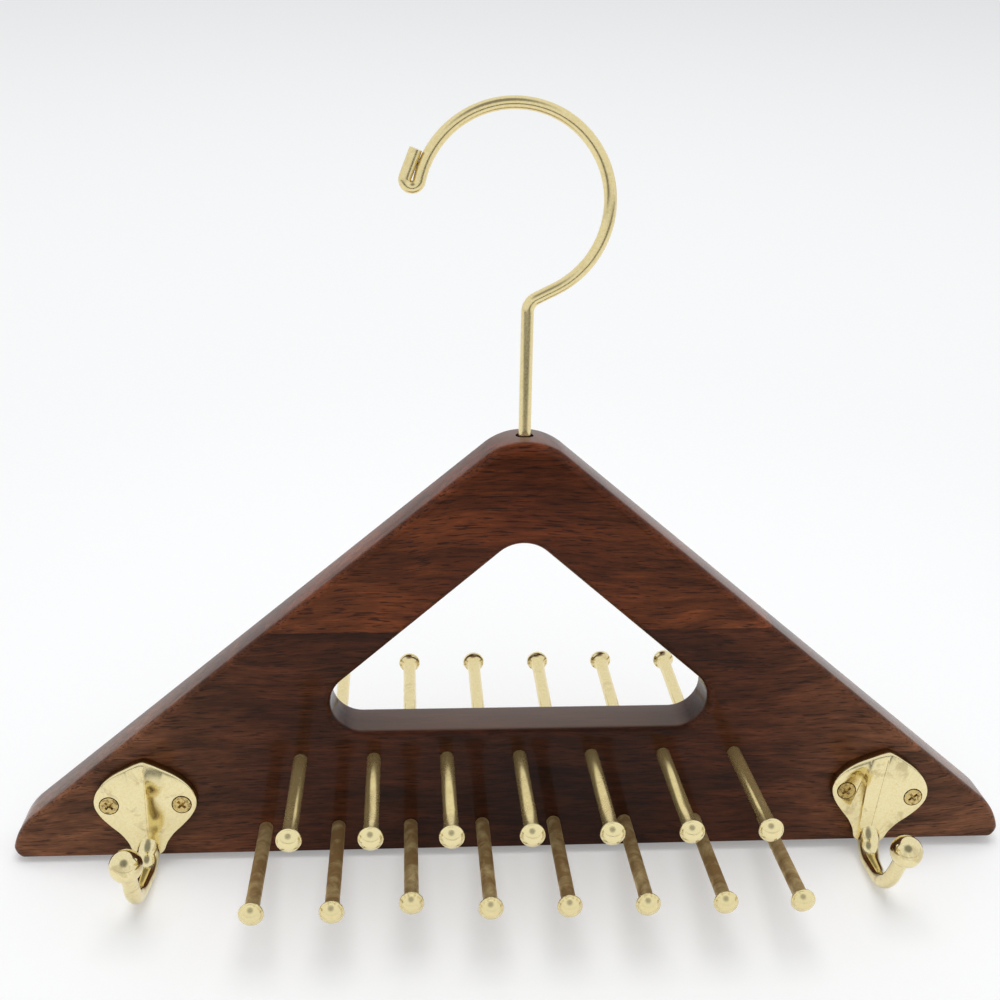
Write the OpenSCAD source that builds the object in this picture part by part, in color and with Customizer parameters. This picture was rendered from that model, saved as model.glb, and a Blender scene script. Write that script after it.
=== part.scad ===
// Tie hanger: a triangular wooden board with a swivelling wire hook, two rows of headed pegs on each face
// and a small coat hook near each tip.
// X runs to the right along the board, Y from the front face to the back and Z up along the hook's stem.
// The origin lies on the hook's swivel axis, level with the lowest point of the coat hooks' arms.

/* [Board] */
// Width across the large radii of the two tips
board_w = 355; // [330:0.2:400]
// Thickness of the board
board_t = 19.05; // [17:0.05:24]
// Height above the bottom edge where the two sloping edges would meet
board_peak = 157.7; // [150:0.1:175]
// Height above the bottom edge where a sloping edge would reach the full width
tip_rise = 9.4; // [7:0.1:14]
// Radius of the rounded peak
crown_r = 20.5; // [14:0.5:26]
// Radius of the rounded tips
tip_r = 22; // [16:0.5:24]
// Radius under each tip, where it turns into the bottom edge
heel_r = 3.6; // [2:0.1:6]
// Height of the glue line between the two planks
glue_z = 85; // [70:1:100]

/* [Window] */
// Width at which the window's sloping sides would meet its floor
window_w = 167.2; // [150:0.2:180]
// Height of the window's floor above the bottom edge
window_floor = 47.2; // [44:0.1:54]
// Height above the bottom edge where the window's sloping sides would meet
window_peak = 119.9; // [112:0.1:122]
// Radius at the top of the window
window_top_r = 12; // [10:0.5:16]
// Radius at the window's lower corners
window_corner_r = 10.8; // [10:0.1:14]

/* [Pegs] */
// Distance between neighbouring pegs in a row
peg_pitch = 25.4; // [22:0.1:27]
// Pegs in the shorter rows; the longer rows have one more
short_row = 7; // [5:1:7]
// Height of the upper rows above the bottom edge
high_row_z = 36.9; // [32:0.1:38]
// Height of the lower rows above the bottom edge
low_row_z = 10.2; // [9:0.1:14]
// Distance from the board's face to the middle of a peg's rim
peg_reach = 53; // [40:0.5:70]
// Diameter of a peg's rod
peg_d = 4.8; // [3.5:0.1:5.2]
// Diameter of a peg's head
peg_head_d = 8.2; // [6:0.1:9]
// Thickness of the rim round a peg's head
peg_rim = 1.2; // [0.6:0.1:2]
// Height of the dome on a peg's head
peg_dome = 2.4; // [1:0.1:3]
// Upward tilt of the pegs
peg_tilt = 2.1; // [0:0.1:6]
// Depth of a peg's blind hole
peg_seat = 12; // [8:0.5:12.5]
// Place in the lower front row of the peg that is driven deeper
deep_peg = 3; // [1:1:6]
// How much deeper that peg is driven
deep_by = 4; // [0:0.5:4]
// Gap round a peg in its hole
peg_gap = 0.03; // [0.01:0.01:0.05]

/* [Wire hook] */
// Diameter of the wire
wire_d = 4.1; // [3:0.1:5]
// Radius of the crook, to the middle of the wire
crook_r = 30.3; // [26:0.1:36]
// Height above the bottom edge at which the stem begins to bend
stem_top = 192.5; // [180:0.5:210]
// Radius of the bend above the stem
stem_bend_r = 5; // [4:0.5:8]
// Angle above level at which the wire leaves that bend
stem_lean = 26.7; // [20:0.1:34]
// Length of the straight wire after that bend
shoulder_l = 6.6; // [4:0.1:12]
// Angle on the crook's circle, from its right side, at which the end turns back
crook_end = 168; // [150:1:190]
// Gap inside the turned-back end
return_gap = 0.4; // [0.4:0.1:4]
// Angle through which the end turns back
return_turn = 189; // [170:1:189]
// Length of the free leg after it
return_l = 9.2; // [4:0.1:10]

/* [Swivel] */
// Gap round the stem in its bore
swivel_gap = 0.05; // [0.02:0.01:0.1]
// Diameter of the recess at the mouth of the bore
mouth_d = 6; // [5.6:0.1:9]
// Depth of that recess below the peak
mouth_depth = 3.4; // [2:0.1:6]
// Height of the swaged collar on the stem
collar_h = 1.2; // [0.8:0.1:2]
// Diameter of the counterbore that opens into the window
foot_bore_d = 10; // [9:0.1:12]
// Depth of that counterbore above the top of the window
foot_bore_depth = 5; // [4:0.1:8]
// Thickness of the washer
washer_t = 0.8; // [0.6:0.1:1.5]
// Height of the peened foot under the washer
foot_h = 1.8; // [1:0.1:2.5]
// Diameter of the peened foot
foot_d = 6.6; // [6:0.1:8]
// Gap between faces that turn on each other
face_gap = 0.1; // [0.05:0.01:0.2]
// Gap round the collar in its recess and round the washer in its counterbore
rim_gap = 0.4; // [0.3:0.05:0.5]

/* [Coat hooks] */
// Distance of each coat hook's middle from the end of the board
coat_inset = 47.9; // [46:0.1:62]
// Height of the left coat hook's screws above the bottom edge
left_coat_z = 22.3; // [20:0.1:25]
// Height of the right coat hook's middle above the bottom edge
right_coat_z = 21; // [20:0.1:25]
// Turn of the right coat hook, clockwise from the front
right_coat_turn = 7.4; // [0:0.1:10]
// Thickness of the plate
plate_t = 3.6; // [2.6:0.1:4]
// Height of the plate's point above its screws
plate_point = 16.6; // [14:0.1:18]
// Radius of the plate's two ears
ear_r = 9; // [8:0.1:10]
// Width of the plate across its ears
plate_w = 35.2; // [32:0.1:38]
// Height of the ears' middles above the screws
ear_rise = 1.2; // [0:0.1:2]
// Distance from the screws down to the middle of the plate's foot
plate_foot = 15; // [14:0.1:17]
// Radius of the plate's foot
plate_foot_r = 5.5; // [5:0.1:6]
// Distance between the two screws
screw_spacing = 24.8; // [22:0.1:26]
// Diameter of the swelling where the arm leaves the plate
arm_root_d = 7; // [6:0.1:7]
// Diameter of the arm
arm_d = 5.6; // [5:0.1:6.2]
// Distance from the plate's front to the middle of that swelling
arm_root_out = 0.2; // [0.2:0.1:2]
// Depth of the swelling's middle below the screws
arm_root_drop = 18.3; // [17:0.1:20]
// Radius of the arm's bend at the plate
arm_root_r = 9.5; // [8:0.1:12]
// Length of the arm's level stretch
arm_level = 6.1; // [4:0.1:10]
// Radius of the arm's upward bend
arm_bend_r = 14; // [11:0.1:17]
// Angle above level at which the arm rises to its ball
arm_rise = 68; // [60:1:78]
// Length from the upward bend to the middle of the ball
arm_neck = 12.8; // [10:0.1:16]
// Diameter of the ball
ball_d = 11; // [9:0.1:13]

/* [Screws] */
// Diameter of a screw's head
screw_head_d = 6.2; // [5.6:0.1:7]
// Diameter of a screw's shank
screw_d = 3; // [2.5:0.1:3.5]
// Length of a screw, from its head to its point
screw_l = 15; // [12:0.5:18]
// Length of the screw's point
screw_point = 3; // [2:0.5:4]
// Width of a slot of the cross recess
recess_w = 0.9; // [0.6:0.1:1.2]
// Length of a slot of the cross recess
recess_l = 3.6; // [3:0.1:4]
// Depth of the cross recess
recess_depth = 1.4; // [0.8:0.1:1.6]
// Gap round a screw in its plate and in its pilot hole
screw_gap = 0.05; // [0.02:0.01:0.1]

/* [Hidden] */
$fn = 96;
// How far a cut runs past the face that it opens
over = 1;
// How far a round stands proud where it meets a surface that it would otherwise only touch
hair = 0.02;
half_w = board_w / 2;
coat_x = half_w - coat_inset;
edge_slope = atan((board_peak - tip_rise) / half_w);
window_slope = atan((window_peak - window_floor) / (window_w / 2));

// Circles, as [x, height, radius], that a taut line round them turns into the board's outline, clockwise
tip_x = half_w - tip_r;
tip_z = board_peak - tip_x * tan(edge_slope) - tip_r / cos(edge_slope);
crown_z = board_peak - crown_r / cos(edge_slope);
board_rounds = [[-tip_x, tip_z, tip_r], [0, crown_z, crown_r], [tip_x, tip_z, tip_r]];
heel_x = tip_x + sqrt(pow(tip_r, 2) - pow(heel_r - tip_z, 2)) - heel_r + hair;
board_top = crown_z + crown_r;

// The same for the window
window_corner_x = window_w / 2 - window_corner_r / tan(window_slope / 2);
window_top_z = window_peak - window_top_r / cos(window_slope);
window_rounds = [
    [-window_corner_x, window_floor + window_corner_r, window_corner_r],
    [0, window_top_z, window_top_r],
    [window_corner_x, window_floor + window_corner_r, window_corner_r]
];
window_top = window_top_z + window_top_r;

// The same for a coat hook's plate, about the middle between its screws
point_r = 1;
ear_x = plate_w / 2 - ear_r;
plate_rounds = [
    [-ear_x, ear_rise, ear_r],
    [0, plate_point - point_r, point_r],
    [ear_x, ear_rise, ear_r],
    [0, -plate_foot, plate_foot_r]
];

// Swivel, in heights above the bottom edge
mouth_floor = board_top - mouth_depth;
foot_seat = window_top + foot_bore_depth;
foot_bottom = foot_seat - washer_t - face_gap - foot_h;
collar_d = mouth_d - 2 * rim_gap;
washer_d = foot_bore_d - 2 * rim_gap;

// Arm of a coat hook: where it leaves the plate and how steeply it dips there
arm_root = [plate_t + arm_root_out, -arm_root_drop];
arm_dip = -62;
// Lowest point of an arm under a hook turned by a given angle, below the board's bottom edge
arm_low = -arm_root[1] + arm_root_r * (1 - cos(arm_dip));
function arm_drop(z, turn) = arm_low * cos(turn) + arm_d / 2 - z;
// Height of the board's bottom edge above the lowest point of the arms
lift = max(arm_drop(left_coat_z, 0), arm_drop(right_coat_z, right_coat_turn));

PEGS = [for (i = [1 : 2 * short_row + 1]) i];
function two_digits(n) = n < 10 ? str("0", n) : str(n);

wood_colour = "#4a261a";
brass_colour = "#c9a85a";
pale_brass_colour = "#e0cf96";

function unit(a) = [cos(a), sin(a)];
// Direction square to the taut line from one circle to the next, on its outer side
function line_normal(c, e) =
    let (d = [e[0] - c[0], e[1] - c[1]])
    atan2(d[1], d[0]) + acos(max(-1, min(1, (c[2] - e[2]) / norm(d))));
function normals(rounds) = [for (i = [0 : len(rounds) - 1]) line_normal(rounds[i], rounds[(i + 1) % len(rounds)])];
function touch(c, a) = [c[0], c[1]] + c[2] * unit(a);

// Points where a taut line round the circles meets and leaves each of them
function taut_points(rounds) =
    let (n = len(rounds), a = normals(rounds))
    [for (i = [0 : n - 1], k = [0, 1]) touch(rounds[(i + k) % n], a[i])];

// A slab inside a taut line round the circles, which are a hair larger so that they cross its straight sides
module taut_slab(rounds, t) {
    linear_extrude(t) polygon(taut_points(rounds));
    for (c = rounds) translate([c[0], c[1], 0]) cylinder(h = t, r = c[2] + hair);
}

// What is cut away under the tips: all below the bottom edge and the corners outside the heels
module below_heels() {
    translate([-board_w, -board_w]) square([2 * board_w, board_w]);
    for (side = [-1, 1]) difference() {
        translate([side * (heel_x + heel_r), 0]) square(2 * heel_r, center = true);
        translate([side * heel_x, heel_r]) circle(heel_r);
    }
}

// The whole board, drawn flat with its bottom edge on y = 0
module board_blank() {
    translate([0, 0, -board_t / 2]) difference() {
        taut_slab(board_rounds, board_t);
        translate([0, 0, -over]) linear_extrude(board_t + 2 * over) below_heels();
        translate([0, 0, -over]) taut_slab(window_rounds, board_t + 2 * over);
    }
}

// Stands what is drawn flat upright on its bottom edge, at its height above the origin
module stand_up() translate([0, 0, lift]) rotate([90, 0, 0]) children();

// The half of space above or below the glue line, as a box
module plank_half(upper) {
    h = board_peak + 2 * over;
    translate([-board_w, upper ? glue_z : glue_z - h, -board_t]) cube([2 * board_w, h, 2 * board_t]);
}

module upper_plank() {
    color(wood_colour) difference() {
        stand_up() intersection() {
            board_blank();
            plank_half(true);
        }
        translate([0, 0, lift + window_top - over])
            cylinder(h = board_top - window_top + 2 * over, d = wire_d + 2 * swivel_gap);
        translate([0, 0, lift + mouth_floor]) cylinder(h = mouth_depth + over, d = mouth_d);
        translate([0, 0, lift + window_top - 2 * over])
            cylinder(h = foot_bore_depth + 2 * over, d = foot_bore_d);
    }
}

module lower_plank() {
    color(wood_colour) difference() {
        stand_up() intersection() {
            board_blank();
            plank_half(false);
        }
        for (front = [true, false], i = PEGS)
            at_peg(front, i) translate([0, 0, -peg_depth(front, i)])
                cylinder(h = peg_depth(front, i) + over, d = peg_d + 2 * peg_gap);
        for (s = [-1, 1], k = [-1, 1])
            at_screw(s, k) translate([0, 0, -screw_l - screw_gap])
                cylinder(h = screw_l, d = screw_d + 2 * screw_gap);
    }
}

// A peg's place: the first pegs of a face are its upper row
function is_deep(front, i) = front && i == short_row + deep_peg;
function peg_depth(front, i) = peg_seat + (is_deep(front, i) ? deep_by : 0);
function high_count(front) = front ? short_row : short_row + 1;
function peg_x(front, i) =
    let (high = i <= high_count(front),
         n = high ? high_count(front) : 2 * short_row + 1 - high_count(front),
         k = high ? i - 1 : i - 1 - high_count(front))
    (k - (n - 1) / 2) * peg_pitch;
function peg_z(front, i) = i <= high_count(front) ? high_row_z : low_row_z;

module at_peg(front, i) {
    translate([peg_x(front, i), (front ? -1 : 1) * board_t / 2, lift + peg_z(front, i)])
        rotate([(front ? 1 : -1) * (90 - peg_tilt), 0, 0])
        children();
}

// A headed peg along Z, with its origin at the board's face
module peg(seat, reach) {
    foot_chamfer = peg_d / 8;
    rim_chamfer = peg_rim / 4;
    dome_base = peg_head_d / 2 - peg_rim / 6;
    dome_r = (pow(dome_base, 2) + pow(peg_dome, 2)) / (2 * peg_dome);
    rim_low = reach - peg_rim / 2;
    color(brass_colour) rotate_extrude() {
        polygon([
            [0, -seat],
            [peg_d / 2 - foot_chamfer, -seat],
            [peg_d / 2, foot_chamfer - seat],
            [peg_d / 2, rim_low - peg_rim],
            [peg_head_d / 2 - rim_chamfer, rim_low],
            [peg_head_d / 2, rim_low + rim_chamfer],
            [peg_head_d / 2, rim_low + peg_rim],
            [0, rim_low + peg_rim]
        ]);
        translate([0, rim_low + peg_rim]) intersection() {
            translate([0, peg_dome - dome_r]) circle(dome_r);
            square([peg_head_d, peg_dome]);
        }
    }
}

module placed_peg(front, i) {
    seat = peg_depth(front, i);
    at_peg(front, i) peg(seat, peg_reach + peg_seat - seat);
}

// A round bar along an arc: it starts at the origin along the heading and turns left for a positive angle
module round_arc(d, r, heading, turn) {
    side = turn > 0 ? 1 : -1;
    centre = r * unit(heading + 90 * side);
    translate([centre[0], centre[1], 0])
        rotate([0, 0, heading - 90 * side + (turn > 0 ? 0 : turn)])
        rotate_extrude(angle = abs(turn))
        translate([r, 0])
        circle(d = d);
}

module round_straight(d, heading, l) {
    rotate([0, 0, heading]) rotate([0, 90, 0]) cylinder(h = l, d = d);
}

// A ball where two stretches meet, so that they join without a seam
module round_joint(d, heading) rotate(heading) rotate([0, 90, 0]) sphere(d = d + 2 * hair);

function arc_end(r, heading, turn) =
    let (side = turn > 0 ? 1 : -1)
    r * unit(heading + 90 * side) - r * unit(heading + turn + 90 * side);

// Corners of the hook's route, in [x, height above the bottom edge]
stem_heading = 90;
return_r = (wire_d + return_gap) / 2;
bend_start = [0, stem_top];
bend_end = bend_start + arc_end(stem_bend_r, stem_heading, stem_lean - stem_heading);
crook_start = bend_end + shoulder_l * unit(stem_lean);
crook_turn = crook_end + stem_heading - stem_lean;
return_start = crook_start + arc_end(crook_r, stem_lean, crook_turn);
return_heading = stem_lean + crook_turn;
leg_start = return_start + arc_end(return_r, return_heading, -return_turn);

module wire_hook() {
    color(brass_colour) {
        stand_up() {
            translate(bend_start) round_joint(wire_d, stem_heading);
            for (p = [bend_end, crook_start]) translate(p) round_joint(wire_d, stem_lean);
            translate(return_start) round_joint(wire_d, return_heading);
            translate(leg_start) round_joint(wire_d, return_heading - return_turn);
            translate(bend_start) round_arc(wire_d, stem_bend_r, stem_heading, stem_lean - stem_heading);
            translate(bend_end) round_straight(wire_d, stem_lean, shoulder_l);
            translate(crook_start) round_arc(wire_d, crook_r, stem_lean, crook_turn);
            translate(return_start) round_arc(wire_d, return_r, return_heading, -return_turn);
            translate(leg_start) round_straight(wire_d, return_heading - return_turn, return_l);
        }
        translate([0, 0, lift + foot_bottom]) {
            cylinder(h = stem_top - foot_bottom, d = wire_d);
            cylinder(h = foot_h, d = foot_d);
        }
        translate([0, 0, lift + mouth_floor + face_gap]) cylinder(h = collar_h, d = collar_d);
    }
}

module swivel_washer() {
    color(brass_colour) translate([0, 0, lift + foot_seat - washer_t]) difference() {
        cylinder(h = washer_t, d = washer_d);
        translate([0, 0, -over]) cylinder(h = washer_t + 2 * over, d = wire_d + 4 * swivel_gap);
    }
}

// A coat hook's place: drawn with X across, Y up and Z forward of the board's face
module at_coat_hook(s) {
    translate([s * coat_x, -board_t / 2, lift + (s < 0 ? left_coat_z : right_coat_z)])
        rotate([0, s < 0 ? 0 : right_coat_turn, 0])
        rotate([90, 0, 0])
        children();
}

// Places along the arm's middle line, as [distance from the board's face, height about the screws]
arm_bottom = arm_root + arc_end(arm_root_r, arm_dip, -arm_dip);
arm_level_end = arm_bottom + [arm_level, 0];
arm_bend_end = arm_level_end + arc_end(arm_bend_r, 0, arm_rise);
ball_at = arm_bend_end + arm_neck * unit(arm_rise);

// Turns what is drawn in the plane of distance and height into that of the coat hook
module in_arm_plane() rotate([90, 0, 90]) rotate([0, 0, 90]) mirror([0, 1, 0]) children();

// A hook's arm: two bends and two straights of one round section, with a swelling where it leaves the plate
module arm() {
    in_arm_plane() {
        for (p = [arm_bottom, arm_level_end]) translate(p) round_joint(arm_d, 0);
        translate(arm_bend_end) round_joint(arm_d, arm_rise);
        translate(arm_root) round_arc(arm_d, arm_root_r, arm_dip, -arm_dip);
        translate(arm_bottom) round_straight(arm_d, 0, arm_level);
        translate(arm_level_end) round_arc(arm_d, arm_bend_r, 0, arm_rise);
        translate(arm_bend_end) round_straight(arm_d, arm_rise, arm_neck);
        translate(arm_root) sphere(d = arm_root_d);
        translate(ball_at) sphere(d = ball_d);
    }
}

module coat_hook(s) {
    color(pale_brass_colour) at_coat_hook(s) difference() {
        union() {
            taut_slab(plate_rounds, plate_t);
            arm();
        }
        for (k = [-1, 1]) translate([k * screw_spacing / 2, 0, 0]) {
            translate([0, 0, -over]) cylinder(h = plate_t + 2 * over, d = screw_d + 2 * screw_gap);
            screw_cone(screw_gap);
        }
    }
}

// The cone of a countersunk head, flush with the plate, or the countersink that takes it
module screw_cone(gap) {
    cone_h = (screw_head_d - screw_d) / 2;
    translate([0, 0, plate_t - cone_h]) cylinder(h = cone_h, d1 = screw_d + 2 * gap, d2 = screw_head_d + 2 * gap);
}

module at_screw(s, k) at_coat_hook(s) translate([k * screw_spacing / 2, 0, plate_t]) children();

module screw(s, k) {
    shank_l = screw_l - screw_point;
    tip_d = screw_d / 8;
    color(pale_brass_colour) at_screw(s, k) difference() {
        union() {
            translate([0, 0, -plate_t]) screw_cone(0);
            translate([0, 0, -shank_l]) cylinder(h = shank_l, d = screw_d);
            translate([0, 0, -screw_l]) cylinder(h = screw_point, d1 = tip_d, d2 = screw_d);
        }
        for (a = [45, 135]) rotate([0, 0, a])
            translate([-recess_l / 2, -recess_w / 2, -recess_depth]) cube([recess_l, recess_w, recess_depth + over]);
    }
}

upper_plank();
lower_plank();
wire_hook();
swivel_washer();
for (i = PEGS) placed_peg(true, i);
for (i = PEGS) placed_peg(false, i);
coat_hook(-1);  // left_coat_hook
coat_hook(1);  // right_coat_hook
for (i = [1, 2]) screw(-1, 2 * i - 3);
for (i = [1, 2]) screw(1, 2 * i - 3);
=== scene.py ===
from math import acos, asin, atan, cos, degrees, pi, radians, sin, sqrt, tan

import bmesh
import bpy
from mathutils import Matrix, Vector


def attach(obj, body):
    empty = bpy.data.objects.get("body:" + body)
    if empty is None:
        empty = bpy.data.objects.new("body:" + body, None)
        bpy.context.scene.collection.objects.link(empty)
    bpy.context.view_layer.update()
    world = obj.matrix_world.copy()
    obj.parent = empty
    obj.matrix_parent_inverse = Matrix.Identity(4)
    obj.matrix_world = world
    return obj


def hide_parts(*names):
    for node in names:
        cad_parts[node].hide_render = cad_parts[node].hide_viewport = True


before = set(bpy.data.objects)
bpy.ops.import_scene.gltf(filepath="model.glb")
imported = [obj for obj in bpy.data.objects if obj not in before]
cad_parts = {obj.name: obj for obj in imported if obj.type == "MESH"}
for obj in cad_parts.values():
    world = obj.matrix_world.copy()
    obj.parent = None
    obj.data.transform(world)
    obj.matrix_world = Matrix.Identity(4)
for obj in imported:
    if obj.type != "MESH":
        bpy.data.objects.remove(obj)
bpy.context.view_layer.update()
scene = bpy.context.scene
mm = 0.001
print("frame: %d nodes" % len(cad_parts))


# Small helpers

def linear(hexColour):
    # sRGB hex to the linear colour that a shader takes
    values = [int(hexColour[i:i + 2], 16) / 255 for i in (1, 3, 5)]
    return [v / 12.92 if v <= 0.04045 else ((v + 0.055) / 1.055) ** 2.4 for v in values] + [1]


def addNode(tree, kind, settings=None, inputs=None):
    # One node with its settings; a colour ramp's stops are (position, colour). An input takes a plain
    # value, an output of another node, or another node, which stands for its first output
    node = tree.nodes.new(kind)
    for name, value in (settings or {}).items():
        if name == "stops":
            while len(node.color_ramp.elements) < len(value):
                node.color_ramp.elements.new(0.5)
            for element, (position, colour) in zip(node.color_ramp.elements, value):
                element.position = position
                element.color = linear(colour) if isinstance(colour, str) else (colour, colour, colour, 1)
        else:
            setattr(node, name, value)
    for name, value in (inputs or {}).items():
        source = value.outputs[0] if isinstance(value, bpy.types.Node) else value
        if isinstance(source, bpy.types.NodeSocket):
            tree.links.new(source, node.inputs[name])
        else:
            node.inputs[name].default_value = source
    return node


mixColours = {"data_type": "RGBA", "blend_type": "MIX"}
multiplyColours = {"data_type": "RGBA", "blend_type": "MULTIPLY"}
smoothStep = {"interpolation_type": "SMOOTHSTEP"}


def newMaterial(name):
    material = bpy.data.materials.new(name)
    material.use_nodes = True
    material.node_tree.nodes.clear()
    return material, material.node_tree


def makeObject(name, mesh):
    made = bpy.data.objects.new(name, mesh)
    scene.collection.objects.link(made)
    return made


def meshFrom(name, build):
    # A mesh built by a function that fills an empty bmesh
    b = bmesh.new()
    build(b)
    mesh = bpy.data.meshes.new(name)
    b.to_mesh(mesh)
    b.free()
    return mesh


def shade(mesh, angle):
    # Smooth all over, but sharp where two faces meet at more than the angle
    b = bmesh.new()
    b.from_mesh(mesh)
    for face in b.faces:
        face.smooth = True
    for edge in b.edges:
        if len(edge.link_faces) == 2:
            edge.smooth = edge.calc_face_angle(0) < radians(angle)
    b.to_mesh(mesh)
    b.free()


def settle(made):
    # Makes what the modifiers give the piece's own plain mesh, and takes them off
    graph = bpy.context.evaluated_depsgraph_get()
    mesh = bpy.data.meshes.new_from_object(made.evaluated_get(graph), depsgraph=graph)
    made.modifiers.clear()
    made.data = mesh


def cut(piece, tool, operation="DIFFERENCE"):
    # Boolean of two closed meshes; the tool is used up
    modifier = piece.modifiers.new("cut", "BOOLEAN")
    modifier.operation = operation
    modifier.solver = "EXACT"
    modifier.object = tool
    settle(piece)
    bpy.data.objects.remove(tool)


def lathe(name, profile, sides, place=Matrix.Identity(4)):
    # Turns a profile of (radius, height) about Z and closes it where the radius is 0
    def build(b):
        rings = []
        for r, z in profile:
            if r == 0:
                rings.append([b.verts.new((0, 0, z * mm))])
            else:
                turns = [2 * pi * k / sides for k in range(sides)]
                rings.append([b.verts.new((r * mm * cos(a), r * mm * sin(a), z * mm)) for a in turns])
        for low, high in zip(rings, rings[1:]):
            for k in range(sides):
                nxt = (k + 1) % sides
                if len(low) == 1:
                    b.faces.new((low[0], high[nxt], high[k]))
                elif len(high) == 1:
                    b.faces.new((low[k], low[nxt], high[0]))
                else:
                    b.faces.new((low[k], low[nxt], high[nxt], high[k]))
        bmesh.ops.recalc_face_normals(b, faces=b.faces)
        bmesh.ops.transform(b, matrix=place, verts=b.verts)
    return meshFrom(name, build)


# Camera at the photograph's place

cameraSetup = {"place": (-39.37, -442.21, 287.56), "yaw": 4.09, "pitch": 19.10, "roll": 1.03,
               "lens": 50.4, "shiftUp": -0.001}


def makeCamera(setup):
    yaw, pitch, roll = (radians(setup[k]) for k in ("yaw", "pitch", "roll"))
    ahead = Vector((sin(yaw) * cos(pitch), cos(yaw) * cos(pitch), -sin(pitch)))
    level = Vector((cos(yaw), -sin(yaw), 0))
    upright = level.cross(ahead)
    right = cos(roll) * level + sin(roll) * upright
    up = -sin(roll) * level + cos(roll) * upright
    data = bpy.data.cameras.new("camera")
    data.lens = setup["lens"]
    data.sensor_width = 36
    data.shift_y = setup["shiftUp"]
    camera = makeObject("camera", data)
    turned = Matrix((right, up, -ahead)).transposed().to_4x4()
    camera.matrix_world = Matrix.Translation(Vector(setup["place"]) * mm) @ turned
    scene.camera = camera


makeCamera(cameraSetup)
print("camera")


# Materials

def lacqueredWalnut(name, wood):
    # Black walnut under sprayed nitrocellulose lacquer: brown streaks and short dark pores that lie with
    # the grain, paler towards the tips (partly the wood's own tone, partly painted shade darkening the
    # middle), a clear skin that gives a soft, slightly wavy gloss, and a painted sheen where it faces up
    material, tree = newMaterial(name)
    place = addNode(tree, "ShaderNodeTexCoord").outputs["Object"]
    drift = addNode(tree, "ShaderNodeTexNoise", inputs={  # waves of 90 mm
        "Vector": place, "Scale": 11, "Detail": 2, "Roughness": 0.5})
    bent = addNode(tree, "ShaderNodeVectorMath", {"operation": "MULTIPLY_ADD"}, {
        0: drift, 1: (0, 6 * mm, 16 * mm), 2: place})

    def figure(length, width, shift, detail, rough, distort):
        # A figure of the wood whose patches have that length and width in mm
        patch = addNode(tree, "ShaderNodeMapping", inputs={
            "Vector": bent, "Location": (wood["offset"] + shift, wood["offset"], shift),
            "Scale": (1 / (length * mm), 1 / (width * mm), 1 / (width * mm))})
        return addNode(tree, "ShaderNodeTexNoise", inputs={
            "Vector": patch, "Scale": 1, "Detail": detail, "Roughness": rough, "Distortion": distort})

    cloud = figure(46, 13, 0, 3, 0.6, 0.5)
    streak = figure(26, 2.2, 3.1, 4, 0.62, 0.2)
    fibre = figure(6, 0.6, 7.7, 3, 0.65, 0.1)
    pore = figure(7, 0.55, 5.3, 2, 0.5, 0.2)  # really 0.2 mm wide, drawn coarser so that it shows
    # Paler towards the tips: partly the wood's own tone, partly painted shade that darkens the middle
    x = addNode(tree, "ShaderNodeSeparateXYZ", inputs={"Vector": place}).outputs["X"]
    apart = addNode(tree, "ShaderNodeMath", {"operation": "ABSOLUTE"}, {0: x})
    outward = addNode(tree, "ShaderNodeMapRange", inputs={"Value": apart, "From Max": wood["tipAt"] * mm})
    colour = addNode(tree, "ShaderNodeValToRGB", {"stops": wood["tonesAndShade"]}, {"Fac": outward})
    for pattern, stops in ((cloud, ((0.36, 0.66), (0.5, 0.98), (0.64, 1.42))),
                           (streak, ((0.34, 0.64), (0.66, 1.34))),
                           (fibre, ((0.3, 0.72), (0.7, 1.28)))):
        tone = addNode(tree, "ShaderNodeValToRGB", {"stops": stops}, {"Fac": pattern})
        colour = addNode(tree, "ShaderNodeMix", multiplyColours, {0: 1.0, 6: colour, 7: tone}).outputs[2]
    poreMask = addNode(tree, "ShaderNodeValToRGB", {"stops": ((0.57, 0.0), (0.65, wood["poreDepth"]))},
                       {"Fac": pore})
    colour = addNode(tree, "ShaderNodeMix", mixColours, {
        0: poreMask, 6: colour, 7: linear(wood["pore"])}).outputs[2]
    # Painted sheen: a pale grey-mauve lightening where the surface faces straight up
    normal = addNode(tree, "ShaderNodeNewGeometry").outputs["Normal"]
    upward = addNode(tree, "ShaderNodeSeparateXYZ", inputs={"Vector": normal}).outputs["Z"]
    paintedSheen = addNode(tree, "ShaderNodeMapRange", inputs={
        "Value": upward, "From Min": 0.84, "From Max": 0.99, "To Max": wood["sheenStrength"]})
    colour = addNode(tree, "ShaderNodeMix", mixColours, {
        0: paintedSheen, 6: colour, 7: linear(wood["sheenTone"])}).outputs[2]
    rough = addNode(tree, "ShaderNodeMapRange", inputs={"Value": fibre, "To Min": 0.42, "To Max": 0.6})
    ripple = addNode(tree, "ShaderNodeTexNoise", inputs={  # ripples of 5 mm
        "Vector": place, "Scale": 210, "Detail": 2, "Roughness": 0.5})
    height = addNode(tree, "ShaderNodeMath", {"operation": "MULTIPLY_ADD"}, {
        0: poreMask, 1: -0.8, 2: ripple})
    bump = addNode(tree, "ShaderNodeBump", inputs={
        "Height": height, "Strength": 0.14, "Distance": 0.12 * mm})
    shader = addNode(tree, "ShaderNodeBsdfPrincipled", inputs={
        "Base Color": colour, "Roughness": rough, "Normal": bump, "Specular IOR Level": 0.06,
        "Coat Weight": 0.6, "Coat Roughness": 0.1, "Coat IOR": 1.25})
    addNode(tree, "ShaderNodeOutputMaterial", inputs={"Surface": shader})
    return material


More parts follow.
